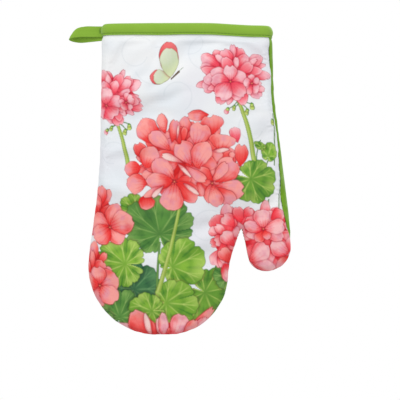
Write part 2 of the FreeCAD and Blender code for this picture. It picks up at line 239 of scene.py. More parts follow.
class Sheet:
    """One face of the mitt as a mesh: rings round its side, and a lattice inside them.

    facing is -1 for the front and +1 for the back. inset is how far it lies inside the outline,
    and wrap how far its edge lies round the side, as an angle for each point of the outline.
    flat is each vertex's place in the flat outline, self.inset its distance in from the outline,
    points its place in space in mm, along and from_seam its place beside the seam, and triangles
    the faces, wound to face outwards.
    """

    def __init__(self, facing, spacing, inset=0.0, wrap=0.0):
        line, inward = rounded_outline(RIM_SPACING * spacing)
        width, deep = EDGE_WIDTH - inset * 0.6, EDGE_DEPTH - inset
        steps, quarter, count = max(5, int(13 / (spacing * 1.25))), math.pi / 2, len(line)
        start = np.zeros(count) + wrap
        turns = np.array([start + (quarter - start) * (k / steps) for k in range(steps + 1)])
        insets = width * (1 - np.cos(turns)) + inset
        rings = line + inward * insets[:, :, None]
        rings[:, [0, -1], 1] = 0.0
        left, right = rings[-1][0], rings[-1][-1]
        top = np.linspace(right[0], left[0], int((right[0] - left[0]) / spacing) + 1)[1:-1]
        loop = np.concatenate([rings[-1], np.stack([top, 0 * top], 1)])
        fill = np.concatenate([loop, hex_points(loop, spacing)])
        whole = list(range(len(loop)))
        _, _, faces, origin, _, _ = delaunay_2d_cdt(
            [Vector(p) for p in fill], list(zip(whole, whole[1:] + [0])), [whole], 1, 1e-5)
        names = np.array([o[0] for o in origin])
        triangles = []
        for k in range(steps):
            a = np.arange(count - 1) + k * count
            b = a + count
            triangles += [np.stack([a, a + 1, b + 1], 1), np.stack([a, b + 1, b], 1)]
        triangles = np.concatenate(triangles + [names[np.array(faces)] + steps * count])

        self.facing, self.rim_count = facing, count
        self.flat = np.concatenate([*rings[:-1], fill])
        fine, _ = rounded_outline(0.4)
        self.inset = np.concatenate([*insets, distance_to(fine, fill[count:])])
        angle = np.concatenate([*turns[:-1], np.full(len(fill), quarter)])
        level = np.zeros((len(fill) - count, 2))
        outward = np.concatenate([np.tile(-inward, (steps + 1, 1)), level]).T
        self.outward = unit(np.stack([
            outward[0] * deep * np.cos(angle), facing * width * np.sin(angle),
            outward[1] * deep * np.cos(angle)], 1))
        self.along = np.concatenate([
            np.tile(np.arange(count) * RIM_SPACING * spacing, steps + 1), level[:, 0]])
        self.from_seam = np.concatenate([*(turns[:-1] - start) * width, np.full(len(fill), 99.0)])
        edges = np.concatenate([triangles[:, [0, 1]], triangles[:, [1, 2]], triangles[:, [2, 0]]])
        self.edges = np.unique(np.sort(edges, axis=1), axis=0)
        held = self.inset - inset < EDGE_WIDTH * 0.7
        side = np.concatenate([*deep * np.sin(turns[:-1]), np.full(len(fill), deep)])
        depth = side + np.sign(side) * relax(
            crown(self.inset), self.edges, int(60 / spacing), held)
        self.points = np.stack([self.flat[:, 0], facing * depth, self.flat[:, 1]], 1)
        a, b, c = (self.points[triangles[:, k]] for k in range(3))
        flip = (np.cross(b - a, c - a) * self.outward[triangles[:, 0]]).sum(1) < 0
        triangles[flip] = triangles[flip][:, ::-1]
        self.triangles = triangles

    def push(self, amount):
        """Move every vertex outwards by an amount in mm."""
        self.points = self.points + self.outward * amount[:, None]


# ------------------------------------------------------------------ the shape of the outer cloths
# the green back rolls forward on the thumb's side and shows as a strip beside the print: how much
# each stretch adds to its width, the heights over which it comes in and those over which it ends
GREEN_STRIP = ((1.7, -3, -10, -34, -48), (0.5, -50, -60, -80, -100), (1.2, -3, -10, -186, -208),
               (3.6, -105, -160, -172, -208))


def seam_turn(line):
    """How far round to the front the side seam lies, as an angle, along the outline."""
    x, z = line.T
    strip = sum(width * smoothstep(begin, full, z) * (1 - smoothstep(fade, end, z))
                for width, begin, full, fade, end in GREEN_STRIP)
    return np.arccos(1 - np.clip(smoothstep(60, 75, x) * strip, 0, 7) / EDGE_WIDTH)


def quilt_lines(x, z):
    """The distance to the nearest row of quilting each way, in mm, as two arrays."""
    away = []
    for way in (-1, 1):
        across = (x - CROTCH[0]) * math.sin(way * QUILT_ANGLE)
        across = (across + (z - CROTCH[1]) * math.cos(QUILT_ANGLE)) / QUILT_SPACING
        away.append(np.abs(across - np.round(across)) * QUILT_SPACING)
    return away


def seam_crease(sheet):
    """The valley along the side seam, and the small puckers that its stitches pull."""
    pull = 1.3 + 0.5 * value_noise(sheet.along, sheet.along * 0, 5.0, 3)
    pull += 0.3 * value_noise(sheet.along, sheet.along * 0, 17.0, 4)
    pull *= 1 - 0.8 * smoothstep(-26, -10, sheet.points[:, 2])
    pull *= 1 - 0.9 * np.exp(-(np.linalg.norm(sheet.flat - CROTCH, axis=1) / 16) ** 2)
    valley = -pull * np.exp(-(sheet.from_seam / 1.7) ** 2)
    pucker = 0.3 * value_noise(sheet.along, sheet.from_seam * 0.4, 4.5, 5)
    pucker *= np.exp(-((sheet.from_seam - 3.5) / 3.0) ** 2)
    return valley + pucker


def cuff_squeeze(sheet):
    """The layers are pressed together under the binding and fill out again below it."""
    x, z = sheet.points[:, 0], sheet.points[:, 2]
    gather = 0.45 * value_noise(x, z * 0.35, 7.0, 11 + sheet.facing)
    gather += 0.3 * value_noise(x, z * 0.3, 13.0, 12 + sheet.facing)
    gather *= smoothstep(-30, -12, z)
    thick_seam = np.exp(-(sheet.inset / 6.0) ** 2)
    return gather - (1.5 - 1.2 * thick_seam) * smoothstep(-17, -9.5, z)


def corner_drop(points):
    """The cuff's edge is rounded off at both ends, and sags a little on the thumb's side."""
    x, z = points[:, 0], points[:, 2]
    rounded = -1.4 * np.exp(-((84.0 - np.abs(x)) / 3.0) ** 2) * smoothstep(-11, 0, z)
    return rounded - 1.9 * smoothstep(18, 66, x) * smoothstep(-60, -11, z)


def print_side_relief(sheet):
    x, z = sheet.points[:, 0], sheet.points[:, 2]
    soft = 1.1 * layered_noise(x * 0.9 + z * 0.3, z * 0.8, 62, 21, 2)
    soft += 0.42 * layered_noise(x + 0.4 * z, z - 0.4 * x, 21, 22, 2)
    return soft * smoothstep(1.5, 14, sheet.inset) * smoothstep(-9, -22, z)


def quilted_side_relief(sheet):
    x, z = sheet.points[:, 0], sheet.points[:, 2]
    one, two = quilt_lines(x, z)
    puff = 4.2 * ((1 - np.exp(-one / 7.0)) * (1 - np.exp(-two / 7.0)))
    groove = 0.9 * (np.exp(-(one / 1.0) ** 2) + np.exp(-(two / 1.0) ** 2))
    ripple = 0.6 * layered_noise(x, z, 9, 31, 2) * np.exp(-(np.minimum(one, two) / 7) ** 2)
    soft = 0.8 * layered_noise(x, z, 60, 32, 2)
    below_cuff = smoothstep(-9, -24, z)
    body = (puff + ripple + soft - 0.8) * smoothstep(0.5, 9, sheet.inset)
    return (body - groove * smoothstep(0.2, 3, sheet.inset)) * below_cuff


def outer_cloth(facing, spacing):
    line, _ = rounded_outline(RIM_SPACING * spacing)
    sheet = Sheet(facing, spacing, wrap=-facing * seam_turn(line))
    relief = print_side_relief if facing < 0 else quilted_side_relief
    sheet.push(seam_crease(sheet) + cuff_squeeze(sheet) + relief(sheet))
    sheet.points[:, 2] += corner_drop(sheet.points)
    return sheet


# ------------------------------------------------------------------ the wadding's push
SWELL_FRAMES, SWELL_MOST, SWELL_SPACING = 20, 4.0, 3.2


def grip(cloth):
    """How firmly each point is held, 0 to 1: at the side seam, the cuff and the quilting."""
    held = np.maximum(1 - smoothstep(1.5, 5.0, cloth.inset),
                      smoothstep(-16, -11, cloth.points[:, 2]))
    if cloth.facing > 0:
        nearest = np.min(quilt_lines(*cloth.flat.T), axis=0)
        held = np.maximum(held, 1 - smoothstep(1.2, 2.6, nearest))
    return held


def swell():
    """How the wadding pushes out both outer cloths, by cloth simulation.

    The cloths share their rim. They are held where grip() says, and are cut a little larger than
    the space they fill. Returns the simulated cloths and each one's movement in mm.
    """
    cloths = [outer_cloth(facing, SWELL_SPACING) for facing in (-1, 1)]
    rim, first = cloths[0].rim_count, len(cloths[0].points)
    joined = cloths[1].triangles
    joined = np.where(joined < rim, joined, joined + first - rim)
    start = np.concatenate([cloths[0].points, cloths[1].points[rim:]])
    model = mesh_piece("swelling", start, np.concatenate([cloths[0].triangles, joined]))
    hold = np.concatenate([grip(cloths[0]), grip(cloths[1])[rim:]])
    pins = model.vertex_groups.new(name="held")
    for level in range(1, 11):
        chosen = np.nonzero(np.round(hold * 10) == level)[0]
        pins.add(chosen.tolist(), level / 10, "REPLACE")
    cloth = model.modifiers.new("cloth", "CLOTH")
    stuff = cloth.settings
    stuff.quality, stuff.mass, stuff.air_damping = 6, 0.15, 2.0
    stuff.tension_stiffness, stuff.compression_stiffness = 15, 15
    stuff.shear_stiffness, stuff.bending_stiffness = 8, 0.3
    stuff.use_pressure, stuff.uniform_pressure_force = True, 4.0
    stuff.shrink_min = -0.03
    stuff.vertex_group_mass = "held"
    stuff.effector_weights.gravity = 0
    cloth.collision_settings.use_collision = False
    scene = bpy.context.scene
    for number in range(1, SWELL_FRAMES + 1):
        scene.frame_set(number)
    shaped = model.evaluated_get(bpy.context.evaluated_depsgraph_get()).to_mesh()
    moved = np.empty(3 * len(start))
    shaped.vertices.foreach_get("co", moved)
    moved = moved.reshape(-1, 3) / MM - start
    bpy.data.objects.remove(model)
    scene.frame_set(1)
    size = np.linalg.norm(moved, axis=1)[:, None]
    moved *= np.minimum(1, SWELL_MOST / np.maximum(size, 1e-9))
    return [(cloths[0], moved[:first]),
            (cloths[1], np.concatenate([moved[:rim], moved[first:]]))]


def swollen(sheet, coarse, moved):
    """Give a fine sheet the movement that a coarse one has at the same places."""
    free = np.zeros(len(moved), bool)
    even = [relax(moved[:, axis], coarse.edges, 2, free) for axis in range(3)]
    moved = np.stack(even, 1)

    def spots(of):
        return np.stack([of.flat[:, 0], of.points[:, 1] * 0.5, of.flat[:, 1]], 1)

    tree = search_tree(spots(coarse))
    change = np.zeros_like(sheet.points)
    for k, spot in enumerate(spots(sheet)):
        near = tree.find_n(spot, 6)
        share = np.array([max(1e-6, 1 - distance / (near[-1][2] + 1e-6)) ** 2
                          for _, _, distance in near])
        change[k] = share @ moved[[index for _, index, _ in near]] / share.sum()
    free = smoothstep(0, 3, sheet.inset) * smoothstep(-11, -22, sheet.points[:, 2])
    sheet.points = sheet.points + change * free[:, None]


# ------------------------------------------------------------------ from sheets to pieces
def add_to_scene(name, data):
    thing = bpy.data.objects.new(name, data)
    bpy.context.scene.collection.objects.link(thing)
    return thing


def mesh_piece(name, points, faces, normals=None, colours=None, cloth=None):
    """A mesh object from points in mm, with smooth faces. colours are its print's, and cloth holds
    each point's place on the flat cloth in mm, which its weave follows."""
    mesh = bpy.data.meshes.new(name)
    mesh.from_pydata((points * MM).tolist(), [], [list(f) for f in faces])
    mesh.update()
    mesh.polygons.foreach_set("use_smooth", np.ones(len(mesh.polygons), bool))
    if colours is not None:
        layer = mesh.color_attributes.new("print", "FLOAT_COLOR", "POINT")
        rgba = np.concatenate([colours, np.ones((len(colours), 1))], 1)
        layer.data.foreach_set("color", rgba.astype(np.float32).ravel())
    if cloth is not None:
        layer = mesh.attributes.new("cloth", "FLOAT_VECTOR", "POINT")
        places = np.concatenate([cloth, np.zeros((len(cloth), 1))], 1)
        layer.data.foreach_set("vector", places.astype(np.float32).ravel())
    if normals is not None:
        mesh.normals_split_custom_set_from_vertices(normals.tolist())
    return add_to_scene(name, mesh)


def dress(piece, material, nodes):
    """Give a piece its material, and hide the CAD nodes that it replaces."""
    piece.data.materials.append(material)
    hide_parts(*nodes)


def halves(name, flat):
    """The two pieces that cover the mitt. They meet along the thumb's fold, a line through the
    crotch. Gives each one's name, a body's name, fingers or thumb, the ends of its CAD nodes'
    names and which of the places are its own."""
    x, z = (flat - CROTCH).T
    thumb = (x > 0) & (z * math.cos(THUMB_LINE_ANGLE) < x * math.sin(THUMB_LINE_ANGLE))
    return ((name, "fingers", ("hand", "fingers"), ~thumb),
            (name + "_of_thumb", "thumb", ("thumb",), thumb))


def bend_with(piece):
    """Apply a piece's placement to its mesh."""
    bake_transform(piece)


def split_pieces(name, sheet, material, stems, colours=None):
    """A sheet as two pieces, which stand for the CAD nodes whose names start with the stems."""
    normals = vertex_normals(sheet.points, sheet.triangles)
    pieces = []
    for title, body, ends, chosen in halves(name, sheet.flat[sheet.triangles].mean(1)):
        used, local = np.unique(sheet.triangles[chosen], return_inverse=True)
        painted = None if colours is None else colours[used]
        piece = mesh_piece(title, sheet.points[used], local.reshape(-1, 3), normals[used],
                           painted, sheet.flat[used])
        bend_with(piece)
        dress(piece, material, [f"{stem}_{end}" for stem in stems for end in ends])
        pieces.append(piece)
    return pieces


# ------------------------------------------------------------------ materials
class Nodes:
    """A short way to write a material's node tree."""

    def __init__(self, name):
        self.material = bpy.data.materials.new(name)
        self.material.use_nodes = True
        self.tree = self.material.node_tree
        self.tree.nodes.clear()
        self.out = self.tree.nodes.new("ShaderNodeOutputMaterial")
        self.shader = self.tree.nodes.new("ShaderNodeBsdfPrincipled")
        self.link(self.shader.outputs[0], self.out.inputs[0])

    def link(self, source, target):
        self.tree.links.new(source, target)

    def feed(self, node, inputs):
        """Set a node's inputs, each to another node's socket, a number, a vector or a colour."""
        for key, value in inputs.items():
            socket = node.inputs[key]
            if isinstance(value, bpy.types.NodeSocket):
                self.link(value, socket)
            elif socket.type == "RGBA":
                socket.default_value = (*value, 1.0)
            else:
                socket.default_value = value

    def put(self, kind, inputs=None, **settings):
        node = self.tree.nodes.new("ShaderNode" + kind)
        for key, value in settings.items():
            setattr(node, key, value)
        self.feed(node, inputs or {})
        return node

    def mix(self, factor, a, b):
        """A blend of two colours."""
        return self.put("Mix", {0: factor, 6: a, 7: b}, data_type="RGBA").outputs[2]

    def math(self, operation, a, b=0.0):
        return self.put("Math", {0: a, 1: b}, operation=operation).outputs[0]

    def surface(self, colour, roughness, height, strength, distance, **others):
        """Finish the material: its colour, roughness, raised relief and other shader inputs."""
        bump = self.put("Bump", {"Height": height, "Strength": strength, "Distance": distance})
        self.feed(self.shader, {"Base Color": colour, "Roughness": roughness,
                                "Normal": bump.outputs[0], **others})
        return self.material


THREAD_PITCH = 0.55


def weave(nodes, coordinates, pitch):
    """A plain weave of threads pitch mm apart, over coordinates in mm, as heights 0 to 1."""
    turn = math.pi / pitch
    split = nodes.put("SeparateXYZ", {0: coordinates})
    x = nodes.math("SINE", nodes.math("MULTIPLY", split.outputs[0], turn))
    z = nodes.math("SINE", nodes.math("MULTIPLY", split.outputs[1], turn))
    return nodes.math("ABSOLUTE", nodes.math("MULTIPLY", nodes.math("ADD", x, z), 0.5))


def cloth_material(name, sheen, tones=None):
    """Woven cotton: thread relief, soft mottling of its colour, and fine creases. tones are its
    colour, a darker and a lighter one; cloth without them has the print's colours."""
    nodes = Nodes(name)
    where = nodes.put("Attribute", attribute_name="cloth").outputs["Vector"]
    blotch, grain, crease = (
        nodes.put("TexNoise", {"Vector": where, "Scale": scale, "Detail": detail}).outputs[0]
        for scale, detail in ((0.035, 3.0), (1.1, 2.0), (0.12, 4.0)))
    threads = weave(nodes, where, THREAD_PITCH)
    if tones is None:
        base = nodes.put("Attribute", attribute_name="print").outputs["Color"]
        darker, grain_share, thread_share = (0.0, 0.0, 0.0), 0.06, 0.03
    else:
        colour, darker, lighter = tones
        base = nodes.mix(0.5, nodes.mix(blotch, darker, lighter), colour)
        grain_share, thread_share = 0.3, 0.12
    base = nodes.mix(nodes.math("MULTIPLY", grain, grain_share), base, darker)
    base = nodes.mix(nodes.math("MULTIPLY", threads, thread_share), base, darker)
    height = nodes.math("ADD", nodes.math("MULTIPLY", threads, 0.12),
                        nodes.math("MULTIPLY", crease, 0.6))
    height = nodes.math("ADD", height, nodes.math("MULTIPLY", grain, 0.12))
    roughness = nodes.math("ADD", nodes.math("MULTIPLY", grain, 0.15), 0.77)
    return nodes.surface(base, roughness, height, 0.25, 1.0 * MM, **{
        "Sheen Weight": sheen, "Sheen Roughness": 0.5, "Specular IOR Level": 0.25})


def thread_material(name, colour, dark):
    """Sewing thread: twisted strands, with painted shade in the grooves between them."""
    nodes = Nodes(name)
    where = nodes.put("Attribute", attribute_name="cloth").outputs["Vector"]
    split = nodes.put("SeparateXYZ", {0: where})
    twist = nodes.math("ADD", nodes.math("MULTIPLY", split.outputs[0], 14.0), split.outputs[1])
    twist = nodes.math("MULTIPLY", nodes.math("ADD", nodes.math("SINE", twist), 1.0), 0.5)
    fleck = nodes.put("TexNoise", {"Vector": where, "Scale": 2.5, "Detail": 2.0}).outputs[0]
    # painted shade: the colour goes to the dark one in the grooves between strands, where the twist
    # is low, mixed with random darker flecks
    base = nodes.mix(nodes.math("MULTIPLY", twist, fleck), dark, colour)
    roughness = nodes.math("ADD", nodes.math("MULTIPLY", fleck, 0.2), 0.45)
    return nodes.surface(base, roughness, twist, 0.5, 0.1 * MM)


printed_cotton = cloth_material("printed_cotton", 0.0)
green_cotton = cloth_material(
    "green_cotton", 0.25, (linear(118, 164, 28), linear(98, 146, 18), linear(134, 182, 42)))
lining_cotton = cloth_material(
    "lining_cotton", 0.1, (linear(226, 224, 214), linear(205, 203, 192), linear(238, 236, 228)))
binding_cotton = cloth_material(
    "binding_cotton", 0.25, (linear(139, 181, 58), linear(124, 167, 46), linear(154, 196, 72)))
green_thread = thread_material("green_thread", linear(122, 168, 46), linear(82, 126, 26))


# ------------------------------------------------------------------ the print
PETAL, LEAF = ("deep", "mid", "light", "line", "cool"), ("base", "shade", "vein", "line")
STALK = ("base", "light", "line")


def palette(names, *colours):
    """A motif's colours by name, each given as sRGB."""
    return {name: linear(*colour) for name, colour in zip(names, colours)}


LILAC = (232, 150, 172)
PINK = palette(PETAL, (242, 58, 84), (254, 130, 142), (255, 202, 208), (166, 32, 62), LILAC)
CORAL = palette(PETAL, (236, 40, 40), (250, 100, 96), (255, 166, 160), (148, 28, 38), LILAC)
ROSE = palette(PETAL, (244, 40, 56), (255, 116, 124), (255, 194, 196), (164, 28, 50), LILAC)
BLUSH = palette(PETAL, (232, 92, 100), (244, 168, 170), (252, 214, 208), (160, 50, 62))
BUD = palette(PETAL, (78, 138, 44), (138, 186, 62), (206, 226, 124), (48, 100, 34))
WING = palette(PETAL, (214, 222, 176), (206, 222, 184), (222, 230, 204), (150, 160, 110))
WING_EDGE = palette(PETAL, (222, 60, 74), (232, 84, 92), (240, 116, 118), (110, 50, 44))
DARK_LEAF = palette(LEAF, (96, 150, 66), (60, 112, 52), (158, 196, 108), (42, 92, 40))
MID_LEAF = palette(LEAF, (118, 170, 58), (70, 126, 44), (200, 220, 116), (48, 100, 34))
FRESH_LEAF = palette(LEAF, (138, 186, 62), (78, 138, 44), (206, 226, 124), (50, 104, 36))
BLUE_LEAF = palette(LEAF, (66, 122, 74), (36, 82, 58), (116, 166, 108), (28, 70, 46))
STEM = palette(STALK, (150, 180, 70), (205, 216, 128), (88, 126, 48))
THIN_STEM = palette(STALK, (92, 138, 66), (128, 168, 88), (60, 104, 50))
INSECT = palette(STALK, (84, 62, 44), (130, 100, 70), (60, 44, 34))


def flattened(dx, dz, tip, squash):
    """Coordinates of a motif that is squashed along the direction tip, in degrees."""
    c, s = math.cos(math.radians(tip)), math.sin(math.radians(tip))
    out, side = (dx * c + dz * s) / squash, -dx * s + dz * c
    return out * c - side * s, out * s + side * c


class Print:
    """The flat front's colours, painted a motif at a time. Lengths are in mm, angles in degrees."""

    def __init__(self, x, z):
        self.x, self.z = x, z
        mottle = layered_noise(x, z, 26, 51)
        cloud = layered_noise(x, z, 70, 52, 2)
        tint = smoothstep(-0.7, 0.7, mottle + 0.5 * cloud)
        self.colour = toward(linear(233, 238, 243), linear(244, 245, 246), tint)
        self.stain = layered_noise(x, z, 7, 53, 3)
        self.grain = layered_noise(x, z, 5, 53, 2)
        self.painted = np.zeros(len(x))
        self.blend(0.5 * smoothstep(0.15, 0.8, value_noise(x, z, 34, 54)), linear(238, 236, 243))

    def blend(self, share, colour, chosen=slice(None)):
        self.colour[chosen] = toward(self.colour[chosen], colour, share)

    def near(self, x, z, reach):
        """The points within reach of a place, and their own coordinates from it."""
        chosen = np.nonzero((np.abs(self.x - x) < reach) & (np.abs(self.z - z) < reach))[0]
        return chosen, self.x[chosen] - x, self.z[chosen] - z

    def swirl(self, x, z, radius, start, sweep, fade=0.25):
        """A faint grey pen line that curls inwards."""
        chosen, dx, dz = self.near(x, z, radius * 1.1)
        turn = (np.degrees(np.arctan2(dz, dx)) - start) % 360
        target = radius * (1 - 0.45 * turn / 360)
        line = np.exp(-((np.hypot(dx, dz) - target) / 0.55) ** 2) * (turn < sweep)
        self.blend(fade * line, linear(196, 206, 214), chosen)

    def over(self, chosen, inside, colour):
        """Lay a motif over what is there, with a soft shadow on any motif beneath it."""
        shadow = 0.6 * np.exp(-(np.maximum(-inside, 0) / 1.3) ** 1.5) * self.painted[chosen]
        self.colour[chosen] *= 1 - shadow[:, None] * (0.16, 0.62, 0.52)
        cover = smoothstep(-0.5, 0.5, inside)
        self.blend(cover, colour, chosen)
        self.painted[chosen] = np.maximum(self.painted[chosen], cover)

    def petal(self, local, where, angle, length, width, tints, lean=1.0, tone=0.0):
        """One petal from the middle of local coordinates, which are the chosen points' own.

        lean is the side that lies in shade, and tone lightens the petal, or darkens it below 0.
        """
        u, v = local
        turn, odd = math.radians(angle), math.sin(3.7 * angle + length)
        along = (u * math.cos(turn) + v * math.sin(turn)) / length
        across = (-u * math.sin(turn) + v * math.cos(turn)) / (width / 2)
        across = across + 0.16 * odd * np.clip(along, 0, 1) * (1 - np.clip(along, 0, 1)) * 4
        t = np.clip(along, 1e-4, 1 - 1e-4)
        wave = 1 + 0.06 * np.sin(7 * t + angle) + 0.03 * np.sin(17 * t + 2 * angle + 2 * across)
        half = np.sin(math.pi * t ** (1.3 + 0.25 * odd)) ** 0.62 * wave
        inside = np.minimum((half - np.abs(across)) * width / 2, along * length * 1.6)
        dent = 0.04 * np.sin(4 * across + angle) - 0.05 * (1 + odd) * np.exp(-(across / 0.3) ** 2)
        inside = np.minimum(inside, (1 - along + dent) * length * 1.3)
        if inside.max() < 0:
            return
        stain = self.stain[where]
        light = smoothstep(0.2, 0.75, along + tone + 0.25 * stain)
        light = light * (1 - 0.75 * smoothstep(0.0, 0.95, across * lean + 0.2 * stain))
        colour = toward(tints["mid"], tints["light"], light)
        cool = 0.62 * light * smoothstep(-0.25, 0.5, self.grain[where])
        colour = toward(colour, tints.get("cool", tints["light"]), cool)
        lines = np.abs(np.sin(across * 7.5 / (0.35 + t) + odd + 0.6 * stain))
        rib = smoothstep(0.5, 0.0, lines) * smoothstep(1.05, 0.15, along)
        depth = 1 - smoothstep(0.05, 0.62 - 0.2 * tone, along + 0.22 * stain)
        depth = depth * 0.9 + 0.42 * rib
        depth += 0.6 * smoothstep(0.2, 1.0, across * lean + 0.35 * stain) * (1 - 0.4 * tone)
        depth += 0.3 * stain - 0.15 * tone
        colour = toward(colour, tints["deep"], np.clip(depth, 0, 1))
        glow = 0.5 * np.exp(-((inside - 1.3) / 0.5) ** 2) * smoothstep(0.4, 0.8, along)
        colour = toward(colour, tints["light"], glow)
        pen = 0.9 * (1 - smoothstep(0.1, 0.9, inside)) * (0.6 + 0.4 * (across * lean > -0.2))
        self.over(where, inside, toward(colour, tints["line"], pen))

    def stroke(self, x0, z0, x1, z1, width, tints, tone=0.0, lean=1.0):
        """A petal between two points."""
        length = math.hypot(x1 - x0, z1 - z0)
        chosen, *local = self.near(x0, z0, length * 1.15 + width / 2)
        self.petal(local, chosen, math.degrees(math.atan2(z1 - z0, x1 - x0)), length, width,
                   tints, lean, tone=tone)

    def strokes(self, petals):
        for petal in petals:
            self.stroke(*petal)

    def gloom(self, x, z, wide, high, tints, seed=0.0):
        """The deep red seen between petals, as a ragged oval."""
        chosen, dx, dz = self.near(x, z, max(wide, high) * 1.1)
        dx, dz = dx / wide, dz / high
        ragged = np.hypot(dx, dz) + 0.08 * np.sin(7 * np.arctan2(dz, dx) + seed)
        self.blend(smoothstep(1.0, 0.97, ragged), tints["deep"] * 0.85, chosen)
        self.painted[chosen] = np.maximum(self.painted[chosen], ragged < 0.98)
        warm = smoothstep(0.0, 0.6, value_noise(self.x[chosen], self.z[chosen], 7, 3 + seed))
        self.blend(0.6 * warm * (ragged < 0.97), tints["mid"], chosen)

    def floret(self, x, z, radius, spin, tints, tip=0.0, squash=1.0,
               tones=(0.3, 0, 0.2, -0.2, 0.1)):
        """A flower of five petals. squash flattens it along the direction tip, as if it faced
        that way."""
        chosen, dx, dz = self.near(x, z, radius * 1.25)
        if not len(chosen):
            return
        local = flattened(dx, dz, tip, squash)
        for k in (1, 4, 2, 3, 0):
            angle = spin + 72 * k + 9 * math.sin(3.1 * k + spin)
            length = radius * (1 + 0.13 * math.sin(5.3 * k + spin))
            width = radius * (0.86 + 0.16 * math.sin(2.2 * k + spin))
            self.petal(local, chosen, angle, length, width, tints,
                       1 if (k + int(spin)) % 2 else -1, tone=tones[k])
        self.heart(x, z, tints, spin)

    def heart(self, x, z, tints, spin=20.0):
        """The dark star and the pale eye where a flower's petals meet."""
        chosen, dx, dz = self.near(x, z, 4)
        points = 0.4 * np.cos(5 * (np.arctan2(dz, dx) - math.radians(spin)))
        star = smoothstep(2.8, 1.0, np.hypot(dx, dz) * (1 + points))
        self.blend(0.8 * star, tints["line"], chosen)
        self.blend(0.8 * smoothstep(0.9, 0.4, np.hypot(dx, dz)), linear(250, 150, 110), chosen)

    def head(self, x, z, wide, high, size, tints, seed,
             rows=((0.52, 1.0, 15), (0.3, 0.84, 12), (0.08, 0.6, 8))):
        """A head of small flowers: outer petals that point away from it, then nearer ones.

        rows holds how far out each row's petals start and end, and how many it has.
        """
        self.gloom(x, z, wide * 0.8, high * 0.8, tints, seed)
        for row, (low, top, count) in enumerate(rows):
            for k in range(count):
                angle = 2 * math.pi * (k + 0.37 * row) / count + 0.13 * math.sin(seed + 3.7 * k)
                swing = angle + 0.5 * math.sin(seed * 2 + 5.1 * k + row)
                reach = top * (1 + 0.07 * math.sin(seed + 2.9 * k + 2 * row))
                start = (x + wide * low * math.cos(angle), z + high * low * math.sin(angle))
                end = (x + wide * reach * math.cos(angle) + 3 * math.cos(swing),
                       z + high * reach * math.sin(angle) + 3 * math.sin(swing))
                self.stroke(*start, *end, size * (0.85 + 0.3 * math.sin(seed + 1.9 * k)), tints,
                            0.3 * math.sin(seed + 2.7 * k + row) - 0.1, 1 if (k + row) % 2 else -1)

    def leaf(self, x, z, radius, stalk, tints, lobes=9, squash=1.0, tip=0.0, hub=0.25):
        """A round scalloped leaf. stalk is the direction of its notch, seen from its middle."""
        turn = math.radians(stalk)
        hx, hz = x + hub * radius * math.cos(turn), z + hub * radius * math.sin(turn)
        chosen, dx, dz = self.near(hx, hz, radius * 1.7)
        if not len(chosen):
            return
        u, v = flattened(dx, dz, tip, squash)
        r, theta = np.hypot(u, v), np.arctan2(v, u)
        back = (theta - turn) % (2 * math.pi) - math.pi  # 0 opposite the notch
        back = back + 0.05 * np.sin(3 * back + x) + 0.03 * np.sin(7 * back + z)
        away = math.pi - np.abs(back)
        spread = 1.9 * math.pi / lobes
        which = np.round(back / spread)
        nearest = back - which * spread
        reach = radius * (1 - hub * np.cos(away)) * (1 + 0.05 * np.sin(5.7 * which + x))
        bulge = np.cos(nearest / spread * math.pi)
        reach *= 0.88 + 0.12 * np.maximum(bulge, 0) ** 0.6
        reach *= 1 + 0.014 * np.cos(nearest / spread * 6 * math.pi)
        reach *= 1 - 0.8 * np.exp(-(away / 0.14) ** 2)
        inside = reach - r
        share = np.clip(r / np.maximum(reach, 1e-3), 0, 1)
        patch = self.stain[chosen]
        half = np.abs(nearest) / spread
        lit = smoothstep(-0.5, 0.6, nearest / spread * 2 * np.sin(which * 2.3 + x) + 0.5 * patch)
        shade = 0.5 * (1 - lit) * smoothstep(0.0, 0.4, share)
        shade += 0.6 * smoothstep(0.36, 0.5, half + 0.04 * patch) * smoothstep(0.25, 0.75, share)
        shade += 0.45 * (1 - smoothstep(0.0, 0.4, share)) + 0.3 * patch
        shade += 0.3 * np.exp(-((share - 0.55) / 0.1) ** 2)
        tone = toward(tints["base"], tints["shade"], np.clip(shade, 0, 1))
        glow = np.clip(0.42 * smoothstep(0.5, 0.95, share) * lit + 0.15 * patch, 0, 1)
        tone = toward(tone, tints["vein"], glow)
        vein = 0.6 * np.exp(-(nearest * r / (0.6 - 0.2 * share)) ** 2) * smoothstep(0.96, 0.8, share)
        fork = np.abs(half - 0.55 * np.maximum(share - 0.45, 0)) * spread * r
        vein += 0.35 * np.exp(-(fork / 0.5) ** 2) * smoothstep(0.45, 0.55, share) * (share < 0.92)
        vein = np.clip(vein * smoothstep(0.0, 0.3, share), 0, 1)
        tone = toward(tone, tints["vein"], vein)
        rim = 0.75 * (1 - smoothstep(0.0, 1.0, inside))
        self.over(chosen, inside, toward(tone, tints["line"], rim))

    def stem(self, x0, z0, x1, z1, bow, widths, tints):
        """A stalk between two points, bowed sideways by bow mm."""
        length = math.hypot(x1 - x0, z1 - z0)
        middle = (x0 + x1) / 2, (z0 + z1) / 2
        chosen, dx, dz = self.near(*middle, length / 2 + 6 + abs(bow))
        dx, dz = dx + middle[0] - x0, dz + middle[1] - z0
        ux, uz = (x1 - x0) / length, (z1 - z0) / length
        t = (dx * ux + dz * uz) / length
        side = -dx * uz + dz * ux - bow * 4 * t * (1 - t)
        half = (widths[0] + (widths[1] - widths[0]) * np.clip(t, 0, 1)) / 2
        inside = half - np.abs(side)
        tone = toward(tints["base"], tints["light"],
                      0.7 * np.exp(-((side / half + 0.25) / 0.45) ** 2))
        tone = toward(tone, tints["line"], 0.75 * (1 - smoothstep(0.0, 0.6, inside)))
        self.blend(smoothstep(-0.35, 0.35, inside) * ((t > 0) & (t < 1)), tone, chosen)

